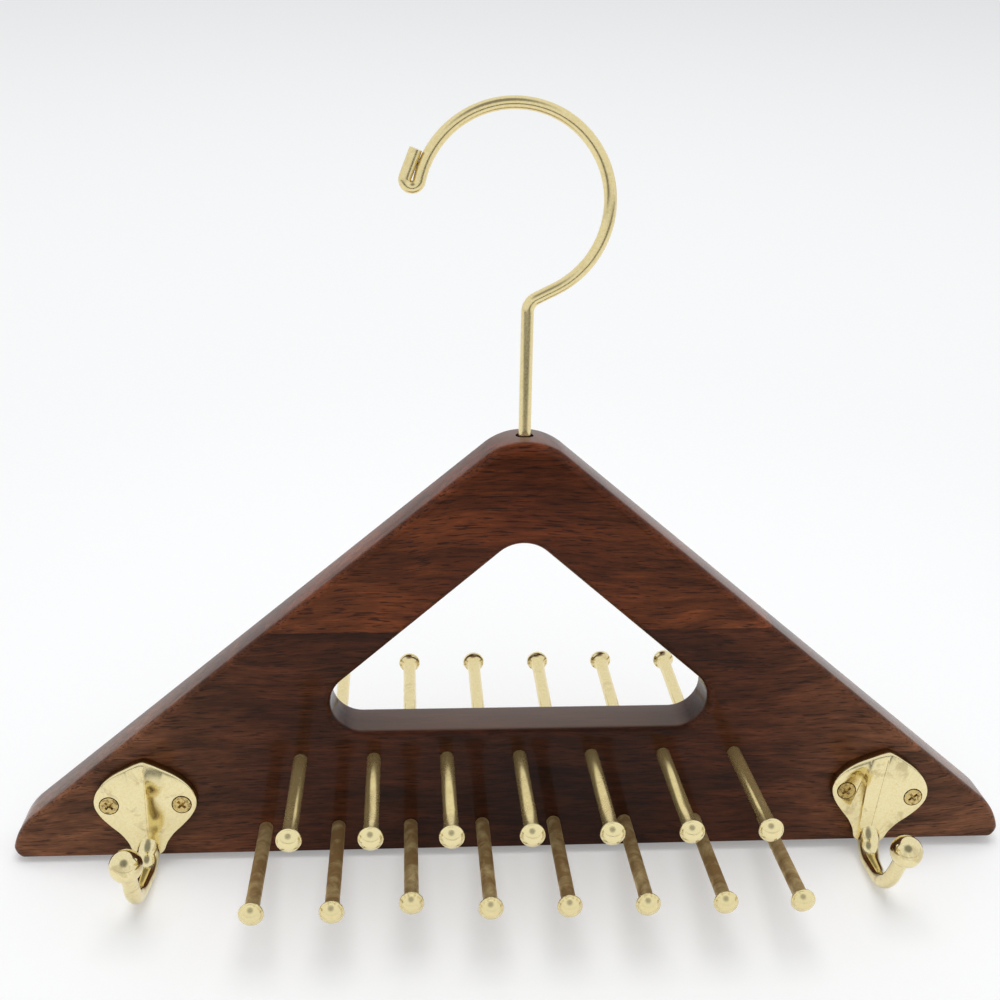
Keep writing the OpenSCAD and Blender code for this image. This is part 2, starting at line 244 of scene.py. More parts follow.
def brass(name, finish):
    # Brass: a yellow metal with a mild haze and, where it is handled, brown patches of tarnish that are
    # duller than the bare metal. A peg's head (attribute "head") is buffed brighter than its rod. The
    # sides of a casting (attribute "rim") are painted brown: painted reflection of the wooden board and
    # painted shade. The film of oxide on a rod scatters light, so it is not wholly metallic
    material, tree = newMaterial(name)
    place = addNode(tree, "ShaderNodeTexCoord").outputs["Object"]
    head, wear, rim = (addNode(tree, "ShaderNodeAttribute", {"attribute_name": attribute}).outputs["Fac"]
                       for attribute in ("head", "wear", "rim"))
    patches = addNode(tree, "ShaderNodeTexNoise", inputs={
        "Vector": place, "Scale": 1 / (finish["patch"] * mm), "Detail": 4, "Roughness": 0.6,
        "Distortion": 0.6})
    patches = addNode(tree, "ShaderNodeMath", {"operation": "MULTIPLY_ADD"}, {
        0: wear, 1: finish["wear"], 2: patches})
    start = finish["tarnishFrom"]
    stops = ((start, 0.0), (start + finish["tarnishEdge"], finish["tarnish"]))
    mask = addNode(tree, "ShaderNodeValToRGB", {"stops": stops}, {"Fac": patches})
    bare = addNode(tree, "ShaderNodeMath", {"operation": "SUBTRACT"}, {0: 1.0, 1: head})
    mask = addNode(tree, "ShaderNodeMath", {"operation": "MULTIPLY"}, {0: mask, 1: bare})
    # The rim attribute paints a casting's sides brown: painted reflection of the wood and painted shade
    mask = addNode(tree, "ShaderNodeMath", {"operation": "MULTIPLY_ADD", "use_clamp": True}, {
        0: rim, 1: 0.9, 2: mask})
    haze = addNode(tree, "ShaderNodeTexNoise", inputs={
        "Vector": place, "Scale": 1 / (0.7 * mm), "Detail": 3, "Roughness": 0.6})
    stops = ((0.3, finish["colour"]), (0.7, finish["pale"]))
    tint = addNode(tree, "ShaderNodeValToRGB", {"stops": stops}, {"Fac": haze})
    tint = addNode(tree, "ShaderNodeMix", mixColours, {
        0: head, 6: tint, 7: linear(finish["head"])}).outputs[2]
    colour = addNode(tree, "ShaderNodeMix", mixColours, {
        0: mask, 6: tint, 7: linear(finish["brown"])}).outputs[2]
    gloss = addNode(tree, "ShaderNodeMapRange", inputs={
        "Value": haze, "To Min": finish["rough"] * 0.8, "To Max": finish["rough"] * 1.25})
    gloss = addNode(tree, "ShaderNodeMath", {"operation": "MULTIPLY_ADD"}, {0: mask, 1: 0.2, 2: gloss})
    gloss = addNode(tree, "ShaderNodeMix", {"data_type": "FLOAT"}, {
        0: head, 2: gloss, 3: finish["headRough"]})
    wave = addNode(tree, "ShaderNodeTexNoise", inputs={
        "Vector": place, "Scale": 1 / (2.5 * mm), "Detail": 2, "Roughness": 0.5})
    bump = addNode(tree, "ShaderNodeBump", inputs={
        "Height": wave, "Strength": finish["bump"], "Distance": 0.05 * mm})
    shader = addNode(tree, "ShaderNodeBsdfPrincipled", inputs={
        "Base Color": colour, "Roughness": gloss, "Normal": bump, "Metallic": finish["metallic"]})
    addNode(tree, "ShaderNodeOutputMaterial", inputs={"Surface": shader})
    return material


finishes = {
    "polished": {"colour": "#e6cd86", "pale": "#f0dfa4", "brown": "#a3834c", "rough": 0.22, "bump": 0.06,
                 "patch": 12, "tarnish": 0.35, "tarnishFrom": 0.5, "tarnishEdge": 0.3, "wear": 0.06,
                 "head": "#f2e3ae", "headRough": 0.19, "metallic": 0.8},
    "tarnished": {"colour": "#e0c488", "pale": "#ead7a4", "brown": "#98764a", "rough": 0.45, "bump": 0.25,
                  "patch": 8, "tarnish": 0.9, "tarnishFrom": 0.38, "tarnishEdge": 0.28, "wear": 0.12,
                  "head": "#f0e0aa", "headRough": 0.2, "metallic": 0.72},
    "pale": {"colour": "#e4d094", "pale": "#efe0b0", "brown": "#9d8450", "rough": 0.2, "bump": 0.08,
             "patch": 8, "tarnish": 0.2, "tarnishFrom": 0.58, "tarnishEdge": 0.12, "wear": 0.0,
             "head": "#efe0b0", "headRough": 0.14, "metallic": 1.0},
    "plated": {"colour": "#e8d7a0", "pale": "#f0e4b8", "brown": "#8f6f3c", "rough": 0.1, "bump": 0.06,
               "patch": 7, "tarnish": 0.3, "tarnishFrom": 0.56, "tarnishEdge": 0.1, "wear": 0.0,
               "head": "#ead9a2", "headRough": 0.1, "metallic": 1.0},
    "screw": {"colour": "#c9ae6c", "pale": "#dcc68a", "brown": "#5e4522", "rough": 0.25, "bump": 0.2,
              "patch": 1.5, "tarnish": 0.7, "tarnishFrom": 0.5, "tarnishEdge": 0.1, "wear": 0.0,
              "head": "#c9ae6c", "headRough": 0.2, "metallic": 0.9},
}
# Tones from the middle (0) out to the tips (1): the darker middle is partly the wood's own tone and partly
# painted shade; the sheen tone is a painted sheen where the wood faces up
upperWalnut = {"tonesAndShade": ((0.0, "#5a2a14"), (0.3, "#643319"), (0.6, "#6b3a22"), (1.0, "#704028")),
               "pore": "#210f08", "poreDepth": 0.75, "offset": 2.0,
               "sheenTone": "#b09a8e", "sheenStrength": 0.22, "tipAt": 170}
lowerWalnut = {"tonesAndShade": ((0.0, "#31170c"), (0.25, "#3d1e10"), (0.5, "#502a18"), (0.85, "#6d452e")),
               "pore": "#190b06", "poreDepth": 0.65, "offset": 11.0,
               "sheenTone": "#a58e82", "sheenStrength": 0.3, "tipAt": 170}
upperWood = lacqueredWalnut("walnut lacquered, upper plank", upperWalnut)
lowerWood = lacqueredWalnut("walnut lacquered, lower plank", lowerWalnut)
polishedBrass = brass("brass rod polished", finishes["polished"])
tarnishedBrass = brass("brass rod tarnished", finishes["tarnished"])
paleBrass = brass("brass rod bright", finishes["pale"])
wireBrass = brass("brass wire drawn", finishes["pale"])
platedBrass = brass("cast zinc brass plated", finishes["plated"])
screwBrass = brass("screw steel brass plated", finishes["screw"])
print("materials")


# Board: two planks, glued, with a round-over along every outer edge

board = {"width": 355, "thick": 19.05, "peak": 157.7, "tipRise": 9.4, "crownRadius": 20.5,
         "tipRadius": 22, "heelRadius": 3.6, "glueHeight": 85, "lift": 4.946, "roundOver": 2.6,
         "underEase": 0.25, "faceBand": 0.6, "steps": 7}
window = {"width": 167.2, "floor": 47.2, "peak": 119.9, "topRadius": 12, "cornerRadius": 10.8}
swivel = {"boreRadius": 2.1, "mouthRadius": 3, "mouthDepth": 3.4, "footBoreRadius": 5, "footBoreDepth": 5}

halfWidth = board["width"] / 2
slope = atan((board["peak"] - board["tipRise"]) / halfWidth)
windowSlope = atan((window["peak"] - window["floor"]) / (window["width"] / 2))
tipX = halfWidth - board["tipRadius"]
tipZ = board["peak"] - tipX * tan(slope) - board["tipRadius"] / cos(slope)
crownZ = board["peak"] - board["crownRadius"] / cos(slope)
boardTop = crownZ + board["crownRadius"]
heelX = tipX + sqrt(board["tipRadius"] ** 2 - (board["heelRadius"] - tipZ) ** 2) - board["heelRadius"]
heelAngle = asin((board["heelRadius"] - tipZ) / board["tipRadius"])
cornerX = window["width"] / 2 - window["cornerRadius"] / tan(windowSlope / 2)
cornerZ = window["floor"] + window["cornerRadius"]
windowTopZ = window["peak"] - window["topRadius"] / cos(windowSlope)
windowTop = windowTopZ + window["topRadius"]


def arc(centreX, centreZ, radius, start, end, inward, count):
    # Points of an arc with the direction that leads into the wood: inward is -1 on an outer edge and 1 in
    # the window
    made = []
    for k in range(count + 1):
        a = start + (end - start) * k / count
        made.append((centreX + radius * cos(a), centreZ + radius * sin(a),
                     inward * cos(a), inward * sin(a)))
    return made


def glueEnd(side, line, angle, inward):
    # Where a sloping edge meets the glue line; the round-over shifts it along that line
    x = (board["peak"] - board["glueHeight"]) / tan(slope) if line == "outer" else \
        (window["peak"] - board["glueHeight"]) / tan(windowSlope)
    return (side * x, board["glueHeight"], -side * inward / abs(sin(angle)), 0)


def mirrored(points):
    return [(-x, z, -ox, oz) for x, z, ox, oz in reversed(points)]


def lowerOutline():
    n = board["steps"]
    # Underneath, the edge is eased less than at the sides
    left = [(x, z, ox, oz * board["underEase"]) for x, z, ox, oz in
            arc(-heelX, board["heelRadius"], board["heelRadius"], 1.5 * pi, 1.05 * pi, -1, 5)]
    left += arc(-tipX, tipZ, board["tipRadius"], pi - heelAngle, pi / 2 + slope, -1, 2 * n)
    left += [glueEnd(-1, "outer", slope, 1)]
    left += [glueEnd(-1, "window", windowSlope, -1)]
    left += arc(-cornerX, cornerZ, window["cornerRadius"], pi / 2 + windowSlope, 1.5 * pi, 1, 3 * n)
    return left + mirrored(left)


def upperOutline():
    n = board["steps"]
    outer = arc(0, crownZ, board["crownRadius"], pi / 2 + slope, pi / 2 - slope, -1, 4 * n)
    inner = arc(0, windowTopZ, window["topRadius"], pi / 2 - windowSlope, pi / 2 + windowSlope, 1, 3 * n)
    return [glueEnd(-1, "outer", slope, 1)] + outer + [glueEnd(1, "outer", slope, 1)] \
        + [glueEnd(1, "window", windowSlope, -1)] + inner + [glueEnd(-1, "window", windowSlope, -1)]


def plankMesh(name, outline):
    # Rings along the outline, from the front face round the edge to the back face, closed by the two
    # faces
    half = board["thick"] / 2
    r = board["roundOver"]
    turn = [0.5 * pi * k / board["steps"] for k in range(board["steps"] + 1)]
    rim = [(r * (1 - cos(a)), r * (1 - sin(a))) for a in turn]
    front = [(r + board["faceBand"], 0)] + rim[::-1]
    rings = [(inset, depth - half) for inset, depth in front]
    rings += [(inset, half - depth) for inset, depth in reversed(front)]

    def build(b):
        made = [[b.verts.new(((x + ox * inset) * mm, y * mm, (z + oz * inset + board["lift"]) * mm))
                 for x, z, ox, oz in outline] for inset, y in rings]
        count = len(outline)
        for low, high in zip(made, made[1:]):
            for k in range(count):
                nxt = (k + 1) % count
                b.faces.new((low[k], low[nxt], high[nxt], high[k]))
        b.faces.new(made[0])
        b.faces.new(made[-1])
        bmesh.ops.recalc_face_normals(b, faces=b.faces)
    return meshFrom(name, build)


def boreTool():
    # What the swivel takes out of the upper plank: counterbore, bore and the recess at the top
    z = board["lift"]
    profile = [(0, z + windowTop - 2), (swivel["footBoreRadius"], z + windowTop - 2),
               (swivel["footBoreRadius"], z + windowTop + swivel["footBoreDepth"]),
               (swivel["boreRadius"], z + windowTop + swivel["footBoreDepth"]),
               (swivel["boreRadius"], z + boardTop - swivel["mouthDepth"]),
               (swivel["mouthRadius"], z + boardTop - swivel["mouthDepth"]),
               (swivel["mouthRadius"], z + boardTop + 2), (0, z + boardTop + 2)]
    return makeObject("boreTool", lathe("boreTool", profile, 48))


def dress(piece, material, slotName, body, *nodes):
    # Material, body and the CAD nodes that the piece stands for
    piece.data.materials.clear()
    piece.data.materials.append(material)
    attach(piece, body)
    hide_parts(*nodes)


upperPlank = makeObject("upperPlankBody", plankMesh("upperPlankBody", upperOutline()))
cut(upperPlank, boreTool())
shade(upperPlank.data, 35)
dress(upperPlank, upperWood, "upper_wood", "board", "upper_plank")
lowerPlank = makeObject("lowerPlankBody", plankMesh("lowerPlankBody", lowerOutline()))
shade(lowerPlank.data, 35)
dress(lowerPlank, lowerWood, "lower_wood", "board", "lower_plank")
print("board")


# Pegs: one turned peg, set out in rows by geometry nodes

peg = {"pitch": 25.4, "highRow": 36.9, "lowRow": 10.2, "reach": 53, "rod": 4.8, "head": 8.2,
       "rim": 1.2, "rimSoftness": 0.3, "dome": 2.4, "domeInset": 0.42, "footChamfer": 0.6,
       "tilt": 2.1, "seat": 12, "deepIndex": 2, "deepBy": 4, "sides": 40}


def pegProfile():
    # Rod, the fillet under its head, the soft rim and the dome, as (radius, height)
    rimLow = peg["reach"] - peg["rim"] / 2
    rimTop = rimLow + peg["rim"]
    rod, head = peg["rod"] / 2, peg["head"] / 2
    soft, chamfer = peg["rimSoftness"], peg["footChamfer"]
    profile = [(0, -peg["seat"]), (rod - chamfer, -peg["seat"]), (rod, chamfer - peg["seat"])]
    profile += [(rod, z) for z in (0, 10, 20, 30, 40)]
    profile += [(rod, rimLow - peg["rim"] - 0.3), (rod + 0.12, rimLow - peg["rim"]),
                (rod + 0.5, rimLow - 0.75), (head - 0.45, rimLow - 0.08)]
    for k in range(5):
        a = -0.5 * pi + pi * k / 4
        profile.append((head - soft + soft * cos(a),
                        rimLow + soft + (peg["rim"] - 2 * soft) * k / 4 + soft * sin(a)))
    domeBase = head - peg["domeInset"]
    radius = (domeBase ** 2 + peg["dome"] ** 2) / (2 * peg["dome"])
    widest = asin(domeBase / radius)
    for k in range(9):
        a = widest * (1 - k / 9)
        profile.append((radius * sin(a), rimTop + peg["dome"] - radius * (1 - cos(a))))
    return profile + [(0, rimTop + peg["dome"])]


pegModel = makeObject("pegModel", lathe("pegModel", pegProfile(), peg["sides"]))
shade(pegModel.data, 38)
isHead = pegModel.data.attributes.new("head", "FLOAT", "POINT")
headFrom = (peg["reach"] - peg["rim"] * 0.9) * mm
for vertex in pegModel.data.vertices:
    isHead.data[vertex.index].value = 1.0 if vertex.co.z > headFrom else 0.0


def pegRowTree():
    tree = bpy.data.node_groups.new("pegRow", "GeometryNodeTree")
    sockets = (("Model", "NodeSocketObject"), ("Count", "NodeSocketInt"), ("Pitch", "NodeSocketFloat"),
               ("Height", "NodeSocketFloat"), ("Face", "NodeSocketFloat"), ("Turn", "NodeSocketFloat"),
               ("Deep Index", "NodeSocketInt"), ("Deep By", "NodeSocketFloat"), ("Seed", "NodeSocketInt"),
               ("Finish", "NodeSocketMaterial"))
    tree.interface.new_socket("Geometry", in_out="INPUT", socket_type="NodeSocketGeometry")
    for name, kind in sockets:
        tree.interface.new_socket(name, in_out="INPUT", socket_type=kind)
    tree.interface.new_socket("Geometry", in_out="OUTPUT", socket_type="NodeSocketGeometry")
    given = addNode(tree, "NodeGroupInput").outputs
    gaps = addNode(tree, "ShaderNodeMath", {"operation": "SUBTRACT"}, {0: given["Count"], 1: 1.0})
    length = addNode(tree, "ShaderNodeMath", {"operation": "MULTIPLY"}, {0: gaps, 1: given["Pitch"]})
    start = addNode(tree, "ShaderNodeMath", {"operation": "MULTIPLY"}, {0: length, 1: -0.5})
    first = addNode(tree, "ShaderNodeCombineXYZ", inputs={
        "X": start, "Y": given["Face"], "Z": given["Height"]})
    step = addNode(tree, "ShaderNodeCombineXYZ", inputs={"X": given["Pitch"]})
    line = addNode(tree, "GeometryNodeMeshLine", {"mode": "OFFSET"}, {
        "Count": given["Count"], "Start Location": first, "Offset": step})
    model = addNode(tree, "GeometryNodeObjectInfo", inputs={"Object": given["Model"], "As Instance": True})
    turned = addNode(tree, "ShaderNodeCombineXYZ", inputs={"X": given["Turn"]})
    rotation = addNode(tree, "FunctionNodeEulerToRotation", inputs={0: turned})
    row = addNode(tree, "GeometryNodeInstanceOnPoints", inputs={
        "Points": line, "Instance": model.outputs["Geometry"], "Rotation": rotation})
    index = addNode(tree, "GeometryNodeInputIndex")
    deep = addNode(tree, "FunctionNodeCompare", {"data_type": "INT", "operation": "EQUAL"}, {
        2: index, 3: given["Deep Index"]})
    sunk = addNode(tree, "ShaderNodeMath", {"operation": "MULTIPLY"}, {0: given["Deep By"], 1: -1.0})
    shift = addNode(tree, "ShaderNodeCombineXYZ", inputs={"Z": sunk})
    driven = addNode(tree, "GeometryNodeTranslateInstances", inputs={
        "Instances": row, "Selection": deep, "Translation": shift, "Local Space": True})
    chance = addNode(tree, "FunctionNodeRandomValue", {"data_type": "FLOAT"}, {"Seed": given["Seed"]})
    kept = addNode(tree, "GeometryNodeStoreNamedAttribute", {"data_type": "FLOAT", "domain": "INSTANCE"}, {
        "Geometry": driven, "Name": "wear", "Value": chance.outputs[1]})
    real = addNode(tree, "GeometryNodeRealizeInstances", inputs={"Geometry": kept})
    finish = addNode(tree, "GeometryNodeSetMaterial", inputs={
        "Geometry": real, "Material": given["Finish"]})
    addNode(tree, "NodeGroupOutput", inputs={"Geometry": finish})
    return tree


def setInputs(modifier, values):
    # A modifier's inputs are set by the socket's identifier
    names = {item.name: item.identifier for item in modifier.node_group.interface.items_tree
             if item.item_type == "SOCKET" and item.in_out == "INPUT"}
    for name, value in values.items():
        modifier[names[name]] = value


pegTree = pegRowTree()


def pegRow(name, front, high, count, material, seed, deepIndex=-1):
    row = makeObject(name, bpy.data.meshes.new(name))
    modifier = row.modifiers.new("row", "NODES")
    modifier.node_group = pegTree
    side = -1 if front else 1
    height = board["lift"] + (peg["highRow"] if high else peg["lowRow"])
    setInputs(modifier, {
        "Model": pegModel, "Count": count, "Pitch": peg["pitch"] * mm, "Height": height * mm,
        "Face": side * board["thick"] / 2 * mm, "Turn": -side * radians(90 - peg["tilt"]),
        "Deep Index": deepIndex, "Deep By": peg["deepBy"] * mm, "Seed": seed, "Finish": material})
    settle(row)
    numbers = range(1, count + 1) if high else range(16 - count, 16)
    nodeName = "front_peg_%02d" if front else "back_peg_%02d"
    dress(row, material, "pegs", "board", *[nodeName % n for n in numbers])


pegRow("frontUpperPegs", True, True, 7, polishedBrass, 3)
pegRow("frontLowerPegs", True, False, 8, tarnishedBrass, 5, peg["deepIndex"])
pegRow("backUpperPegs", False, True, 8, paleBrass, 7)
pegRow("backLowerPegs", False, False, 7, paleBrass, 9)
bpy.data.objects.remove(pegModel)
print("pegs")


# Wire hook: one drawn wire along a route of straights and arcs, swept by geometry nodes

wire = {"thick": 4.1, "stemTop": 192.5, "bendRadius": 5, "lean": 26.7, "shoulder": 6.6, "crookRadius": 30.3,
        "crookEnd": 168, "returnRadius": 2.25, "returnTurn": 189, "leg": 9.2, "sides": 32}
foot = {"thick": 1.8, "radius": 3.3, "washer": 0.8, "gap": 0.1, "collar": 1.2, "collarRadius": 2.6,
        "washerRadius": 4.6, "washerHole": 2.15, "washerEdge": 0.15, "edge": 0.4, "sides": 40}
footBottom = windowTop + swivel["footBoreDepth"] - foot["washer"] - foot["gap"] - foot["thick"]


def wireRoute():
    # Points (x, height) that the wire follows, from its foot to its free end
    points = [(0, footBottom + foot["thick"] / 2), (0, boardTop), (0, wire["stemTop"])]
    heading = 90.0

    def ahead(length):
        x, z = points[-1]
        points.append((x + length * cos(radians(heading)), z + length * sin(radians(heading))))

    def bend(radius, turn, step):
        nonlocal heading
        side = 1 if turn > 0 else -1
        x, z = points[-1]
        aside = radians(heading + 90 * side)
        centre = (x + radius * cos(aside), z + radius * sin(aside))
        count = max(2, round(abs(turn) / step))
        for k in range(1, count + 1):
            a = radians(heading - 90 * side + turn * k / count)
            points.append((centre[0] + radius * cos(a), centre[1] + radius * sin(a)))
        heading += turn

    bend(wire["bendRadius"], wire["lean"] - 90, 6)
    ahead(wire["shoulder"])
    bend(wire["crookRadius"], wire["crookEnd"] + 90 - wire["lean"], 3)
    bend(wire["returnRadius"], -wire["returnTurn"], 12)
    ahead(wire["leg"])
    return points


def sweepTree():
    tree = bpy.data.node_groups.new("bentWire", "GeometryNodeTree")
    tree.interface.new_socket("Geometry", in_out="INPUT", socket_type="NodeSocketGeometry")
    for name, kind in (("Radius", "NodeSocketFloat"), ("Sides", "NodeSocketInt"),
                       ("Finish", "NodeSocketMaterial")):
        tree.interface.new_socket(name, in_out="INPUT", socket_type=kind)
    tree.interface.new_socket("Geometry", in_out="OUTPUT", socket_type="NodeSocketGeometry")
    given = addNode(tree, "NodeGroupInput").outputs
    route = addNode(tree, "GeometryNodeMeshToCurve", inputs={"Mesh": given["Geometry"]})
    section = addNode(tree, "GeometryNodeCurvePrimitiveCircle", {"mode": "RADIUS"}, {
        "Resolution": given["Sides"], "Radius": given["Radius"]})
    swept = addNode(tree, "GeometryNodeCurveToMesh", inputs={
        "Curve": route, "Profile Curve": section, "Fill Caps": True})
    real = addNode(tree, "GeometryNodeRealizeInstances", inputs={"Geometry": swept})
    finish = addNode(tree, "GeometryNodeSetMaterial", inputs={
        "Geometry": real, "Material": given["Finish"]})
    addNode(tree, "NodeGroupOutput", inputs={"Geometry": finish})
    return tree


def makeWireHook():
    route = wireRoute()

    def build(b):
        made = [b.verts.new((x * mm, 0, (z + board["lift"]) * mm)) for x, z in route]
        for low, high in zip(made, made[1:]):
            b.edges.new((low, high))
    hook = makeObject("bentWireHook", meshFrom("bentWireHook", build))
    modifier = hook.modifiers.new("sweep", "NODES")
    modifier.node_group = sweepTree()
    setInputs(modifier, {"Radius": wire["thick"] / 2 * mm, "Sides": wire["sides"], "Finish": wireBrass})
    settle(hook)
    base = board["lift"] + footBottom
    top = board["lift"] + boardTop - swivel["mouthDepth"] + foot["gap"]
    edge, sides = foot["edge"], foot["sides"]
    peened = lathe("peenedFoot", [(0, base), (foot["radius"] - edge, base), (foot["radius"], base + edge),
                                  (foot["radius"], base + foot["thick"]), (0, base + foot["thick"])], sides)
    rim, collarTop = foot["collarRadius"], top + foot["collar"]
    collar = lathe("collar", [(0, top), (rim, top), (rim, collarTop - edge), (rim - edge, collarTop),
                              (0, collarTop)], sides)
    for name, mesh in (("foot", peened), ("collar", collar)):
        cut(hook, makeObject(name, mesh), "UNION")
    shade(hook.data, 40)
    dress(hook, wireBrass, "hook_wire", "hook", "wire_hook")
    low = board["lift"] + windowTop + swivel["footBoreDepth"] - foot["washer"]
    high = low + foot["washer"]
    outer, soft = foot["washerRadius"], foot["washerEdge"]
    ring = [(foot["washerHole"], low), (outer - soft, low), (outer, low + soft), (outer, high),
            (foot["washerHole"], high), (foot["washerHole"], low)]
    washer = makeObject("turningWasher", lathe("turningWasher", ring, sides))
    b = bmesh.new()
    b.from_mesh(washer.data)
    bmesh.ops.remove_doubles(b, verts=b.verts, dist=1e-7)
    bmesh.ops.recalc_face_normals(b, faces=b.faces)
    b.to_mesh(washer.data)
    b.free()
    shade(washer.data, 40)
    dress(washer, paleBrass, "washer", "board", "swivel_washer")


makeWireHook()
print("wire hook")


# Coat hooks: a cast plate with a crease down its middle, an arm and a ball

coat = {"inset": 47.9, "leftHeight": 22.3, "rightHeight": 21, "rightTurn": 7.4, "thick": 3.6,
        "fall": 0.012, "bevel": 0.7, "backEdge": 0.25, "crease": 0.12, "creaseDepth": 0.1,
        "creaseTop": 14.2, "creaseFoot": -14.0, "spacing": 24.8, "sinkRadius": 3.45, "sinkWall": 0.7,
        "sinkDepth": 2.1, "screwHole": 1.55, "armRoot": (3.8, -18.3), "dip": -62, "rootRadius": 9.5,
        "rootWide": 4.0, "rootDeep": 3.6, "level": 6.1, "bendRadius": 14, "rise": 68, "neck": 12.8,
        "neckRadius": 2.6, "ball": 11, "swing": 1.5, "thickness": 5.6}
# The foot of the arm inside the plate, as (distance from the root, half width, half thickness)
armFlare = ((7.5, 0.6, 0.3), (6.6, 1.9, 1.0), (5.2, 2.8, 1.8), (3.6, 3.4, 2.6), (1.8, 3.9, 3.3))
# Right half of the plate's edge, from its point down to its foot
plateEdge = [(0, 16.6), (2.6, 15.8), (5.6, 14.3), (10.6, 11.5), (14.6, 8.0), (17.1, 4.0), (17.6, -0.3),
             (15.8, -4.4), (12.6, -8.2), (9.3, -11.5), (6.9, -15.0), (5.6, -18.2), (3.4, -20.1), (0, -20.5)]


def smoothEdge(points, steps):
    # Catmull-Rom curve through the points, with the first and last mirrored about the middle line
    ghosts = [(-points[1][0], points[1][1])] + points + [(-points[-2][0], points[-2][1])]
    made = [points[0]]
    for k in range(1, len(ghosts) - 2):
        a, p, q, d = (Vector(ghosts[k + j]) for j in (-1, 0, 1, 2))
        for s in range(1, steps + 1):
            t = s / steps
            made.append(tuple(0.5 * (2 * p + (q - a) * t + (2 * a - 5 * p + 4 * q - d) * t ** 2
                                     + (3 * p - a - 3 * q + d) * t ** 3)))
    return made


def plateBody(b):
    right = smoothEdge(plateEdge, 5)
    right[0] = (0, plateEdge[0][1])
    loop = [Vector(p) for p in right] + [Vector((-x, z)) for x, z in reversed(right[1:-1])]
    count = len(loop)
    tangents = [(loop[(k + 1) % count] - loop[k - 1]).normalized() for k in range(count)]
    inward = [Vector((t.y, -t.x)) for t in tangents]

    def ring(inset, rise):
        made = []
        for p, n in zip(loop, inward):
            q = p + n * inset
            made.append(b.verts.new((q.x * mm, q.y * mm, rise(q.x) * mm)))
        return made

    def front(x):
        return coat["thick"] - coat["fall"] * abs(x)

    bevel = coat["bevel"]
    low = coat["backEdge"]
    rings = [ring(low, lambda x: 0), ring(0, lambda x: low), ring(0, lambda x: front(x) - bevel),
             ring(bevel * 0.3, lambda x: front(x) - bevel * 0.3), ring(bevel, front)]
    for under, over in zip(rings, rings[1:]):
        for k in range(count):
            nxt = (k + 1) % count
            b.faces.new((under[k], under[nxt], over[nxt], over[k]))
    b.faces.new(rings[0])
    top, bottom = rings[-1][0], rings[-1][len(right) - 1]
    c = coat["crease"]

    def creasePoint(x, z, drop):
        return b.verts.new((x * mm, z * mm, (coat["thick"] - drop) * mm))

    topZ, bottomZ = coat["creaseTop"], coat["creaseFoot"]
    ends = [creasePoint(0, topZ, 0), creasePoint(0, bottomZ, 0)]
    middle = [creasePoint(0, z, coat["creaseDepth"]) for z in (topZ - 1, bottomZ + 1)]
    rightSide = [creasePoint(c, topZ - 1, c * coat["fall"]), creasePoint(c, bottomZ + 1, c * coat["fall"])]
    leftSide = [creasePoint(-c, topZ - 1, c * coat["fall"]), creasePoint(-c, bottomZ + 1, c * coat["fall"])]
    last = rings[-1]
    b.faces.new([top] + last[1:len(right) - 1] + [bottom, ends[1], rightSide[1], rightSide[0], ends[0]])
    b.faces.new([bottom] + last[len(right):] + [top, ends[0], leftSide[0], leftSide[1], ends[1]])
    for side in (rightSide, leftSide):
        b.faces.new((side[0], side[1], middle[1], middle[0]))
        b.faces.new((ends[0], side[0], middle[0]))
        b.faces.new((ends[1], middle[1], side[1]))
    bmesh.ops.recalc_face_normals(b, faces=b.faces)


def armRoute():
    # Points (distance from the face, height) with half width and half thickness
    root = Vector(coat["armRoot"])
    dip = radians(coat["dip"])
    back = Vector((cos(dip), sin(dip)))
    r, wide, deep, neck = coat["thickness"] / 2, coat["rootWide"], coat["rootDeep"], coat["neckRadius"]
    points = [(root - back * away, halfWide, halfDeep) for away, halfWide, halfDeep in armFlare]
    points.append((root, wide, deep))

    def bend(radius, start, end, count, widths, depths):
        first = points[-1][0]
        centre = first + radius * Vector((cos(start + pi / 2), sin(start + pi / 2)))
        for k in range(1, count + 1):
            t = k / count
            a = start + (end - start) * t - pi / 2
            points.append((centre + radius * Vector((cos(a), sin(a))),
                           widths[0] + (widths[1] - widths[0]) * t, depths[0] + (depths[1] - depths[0]) * t))

    bend(coat["rootRadius"], dip, 0, 10, (wide, 3.2), (deep, r))
    points.append((points[-1][0] + Vector((coat["level"] / 2, 0)), 3.0, r))
    points.append((points[-1][0] + Vector((coat["level"] / 2, 0)), r, r))
    rise = radians(coat["rise"])
    bend(coat["bendRadius"], 0, rise, 14, (r, 2.7), (r, 2.7))
    up = Vector((cos(rise), sin(rise)))
    start = points[-1][0]
    points.append((start + up * coat["neck"] * 0.4, neck, neck))
    points.append((start + up * (coat["neck"] - 2), neck, neck))
    return points, start + up * coat["neck"]


def armBody(b, sides=32):
    points = armRoute()[0]
    rings = []
    for k, (p, wide, deep) in enumerate(points):
        before, after = points[max(k - 1, 0)][0], points[min(k + 1, len(points) - 1)][0]
        way = (after - before).normalized()
        across = Vector((-way.y, way.x))
        ringVerts = []
        for s in range(sides):
            a = 2 * pi * s / sides
            q = p + across * deep * sin(a)
            aside = wide * cos(a) - max(q.x - coat["thick"], 0) * tan(radians(coat["swing"]))
            ringVerts.append(b.verts.new((aside * mm, q.y * mm, q.x * mm)))
        rings.append(ringVerts)
    for low, high in zip(rings, rings[1:]):
        for s in range(sides):
            nxt = (s + 1) % sides
            b.faces.new((low[s], low[nxt], high[nxt], high[s]))
    b.faces.new(rings[0])
    b.faces.new(rings[-1])
    bmesh.ops.recalc_face_normals(b, faces=b.faces)


